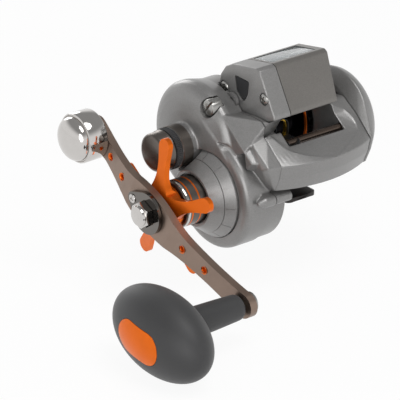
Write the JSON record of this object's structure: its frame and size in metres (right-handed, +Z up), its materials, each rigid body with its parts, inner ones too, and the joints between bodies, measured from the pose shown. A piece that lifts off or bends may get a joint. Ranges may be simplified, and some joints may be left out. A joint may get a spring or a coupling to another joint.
{
  "type": "fishing reel",
  "caption": "Low-profile multiplier fishing reel with a line counter, star drag, level wind and a crank with a single knob and a counterweight.",
  "frame": {"origin": "middle of the flat underside of the foot, where the reel rests in a rod's reel seat", "axes": "+X along the spool axis away from the crank, -Y towards the rod tip, +Z up from the foot"},
  "size_m": [0.1344, 0.1165, 0.0859],
  "materials": {
    "painted_grey": "satin",
    "dark_grey": "satin",
    "black_steel": "satin",
    "steel": "satin",
    "brass": "satin",
    "chrome": "polished",
    "orange_anodised": "satin",
    "bronze_anodised": "satin",
    "gold": "polished",
    "black_rubber": "matte",
    "black_plastic": "matte",
    "white_plastic": "matte",
    "clear_window": "gloss",
    "carbon": "matte"
  },
  "bodies": {
    "frame": {"frame": "painted_grey", "reel_foot": "black_steel", "front_hood": "painted_grey", "handle_side_cover": "painted_grey", "palm_side_plate": "painted_grey", "side_cover_screw": "steel", "counter_housing": "painted_grey", "counter_end_cap": "painted_grey", "counter_window": "clear_window", "counter_screw_rear": "steel", "counter_screw_front": "steel", "worm_tube": "black_plastic", "guide_rail": "steel", "spool_bearing_palm": "steel", "spool_bearing_handle": "steel", "main_shaft_bearing": "steel", "drag_bezel": "painted_grey", "roller_clutch": "steel", "yoke_spring_upper": "steel", "yoke_spring_lower": "steel", "reset_spring": "steel"},
    "crank": {"main_shaft": "steel", "crank_arm": "bronze_anodised", "handle_nut": "chrome", "nut_retainer": "chrome", "retainer_screw": "chrome", "counterweight": "chrome", "knob_spindle": "steel", "ratchet": "steel", "drive_gear": "brass", "drag_washer_carbon": "carbon", "drag_washer_metal": "steel", "drag_sleeve": "steel", "drag_spring_washer": "steel", "drag_collar": "dark_grey"},
    "star": {"star_drag": "orange_anodised"},
    "knob": {"knob": "black_rubber", "knob_inlay": "orange_anodised", "knob_bushing_inner": "brass", "knob_bushing_outer": "brass"},
    "spool": {"spool": "black_steel", "spool_shaft": "steel", "brake_hub": "black_plastic"},
    "yoke": {"clutch_yoke": "black_plastic"},
    "pinion": {"pinion_gear": "brass"},
    "levelwind_idler": {"levelwind_idler": "white_plastic"},
    "worm": {"worm_shaft": "steel"},
    "counter_idler": {"counter_idler": "white_plastic"},
    "counter_shaft": {"counter_shaft": "steel"},
    "units_wheel": {"units_wheel": "black_plastic"},
    "tens_wheel": {"tens_wheel": "black_plastic"},
    "hundreds_wheel": {"hundreds_wheel": "black_plastic"},
    "line_guide": {"line_guide": "black_plastic", "guide_ring": "gold", "pawl": "steel"},
    "thumb_bar": {"thumb_bar": "black_plastic"},
    "reset_button": {"reset_button": "black_plastic"},
    "cast_cap": {"cast_control_cap": "dark_grey", "cap_grip_ring": "black_rubber"},
    "anti_reverse_dog": {"anti_reverse_dog": "steel"}
  },
  "joints": [
    {"name": "crank_turn", "type": "hinge", "parent": "frame", "child": "crank", "pos_m": [0, -0.016, 0.007], "axis": [1, 0, 0], "continuous": true},
    {"name": "star_drag_turn", "type": "hinge", "parent": "crank", "child": "star", "pos_m": [0, -0.016, 0.007], "axis": [1, 0, 0], "range_deg": [-150, 150]},
    {"name": "knob_spin", "type": "hinge", "parent": "crank", "child": "knob", "pos_m": [0, -0.06168, -0.0143], "axis": [1, 0, 0], "continuous": true},
    {"name": "spool_spin", "type": "hinge", "parent": "frame", "child": "spool", "pos_m": [0, -0.00394, 0.02308], "axis": [1, 0, 0], "continuous": true},
    {"name": "thumb_press", "type": "slide", "parent": "frame", "child": "thumb_bar", "axis": [0, 0.2983, -0.9545], "range_m": [0, 0.004]},
    {"name": "clutch_shift", "type": "slide", "parent": "frame", "child": "yoke", "axis": [-1, 0, 0], "range_m": [0, 0.0016], "deforming": ["yoke_spring_upper", "yoke_spring_lower"]},
    {"name": "pinion_spin", "type": "hinge", "parent": "yoke", "child": "pinion", "pos_m": [0, -0.00394, 0.02308], "axis": [1, 0, 0], "continuous": true},
    {"name": "levelwind_idler_spin", "type": "hinge", "parent": "frame", "child": "levelwind_idler", "pos_m": [0, -0.01786, 0.02159], "axis": [1, 0, 0], "continuous": true},
    {"name": "worm_spin", "type": "hinge", "parent": "frame", "child": "worm", "pos_m": [0, -0.03278, 0.02], "axis": [1, 0, 0], "continuous": true},
    {"name": "counter_idler_spin", "type": "hinge", "parent": "frame", "child": "counter_idler", "pos_m": [0, -0.01854, 0.03658], "axis": [1, 0, 0], "continuous": true},
    {"name": "counter_shaft_spin", "type": "hinge", "parent": "frame", "child": "counter_shaft", "pos_m": [0, -0.01899, 0.04657], "axis": [1, 0, 0], "continuous": true},
    {"name": "units_wheel_spin", "type": "hinge", "parent": "frame", "child": "units_wheel", "pos_m": [0, -0.01899, 0.04657], "axis": [1, 0, 0], "continuous": true},
    {"name": "tens_wheel_spin", "type": "hinge", "parent": "frame", "child": "tens_wheel", "pos_m": [0, -0.01899, 0.04657], "axis": [1, 0, 0], "continuous": true},
    {"name": "hundreds_wheel_spin", "type": "hinge", "parent": "frame", "child": "hundreds_wheel", "pos_m": [0, -0.01899, 0.04657], "axis": [1, 0, 0], "continuous": true},
    {"name": "line_guide_travel", "type": "slide", "parent": "frame", "child": "line_guide", "axis": [1, 0, 0], "range_m": [0, 0.0196]},
    {"name": "reset_press", "type": "slide", "parent": "frame", "child": "reset_button", "axis": [1, 0, 0], "range_m": [0, 0.0009], "stiffness_N_per_m": 400, "deforming": ["reset_spring"]},
    {"name": "cast_cap_turn", "type": "hinge", "parent": "frame", "child": "cast_cap", "pos_m": [0, -0.00394, 0.02308], "axis": [1, 0, 0], "range_deg": [-150, 150]},
    {"name": "dog_swing", "type": "hinge", "parent": "frame", "child": "anti_reverse_dog", "pos_m": [0, -0.028, 0.011], "axis": [1, 0, 0], "range_deg": [-10, 0]}
  ],
  "couplings": [
    {"joint": "spool_spin", "follows": "crank_turn", "ratio": -5.0909},
    {"joint": "pinion_spin", "follows": "crank_turn", "ratio": -5.0909},
    {"joint": "levelwind_idler_spin", "follows": "crank_turn", "ratio": 2.8283},
    {"joint": "worm_spin", "follows": "crank_turn", "ratio": -4.2424},
    {"joint": "counter_idler_spin", "follows": "crank_turn", "ratio": -4.2424},
    {"joint": "counter_shaft_spin", "follows": "crank_turn", "ratio": 6.3636},
    {"joint": "units_wheel_spin", "follows": "crank_turn", "ratio": 0.15909},
    {"joint": "tens_wheel_spin", "follows": "crank_turn", "ratio": 0.015909},
    {"joint": "hundreds_wheel_spin", "follows": "crank_turn", "ratio": 0.0015909},
    {"joint": "clutch_shift", "follows": "thumb_press", "ratio": 0.4}
  ]
}
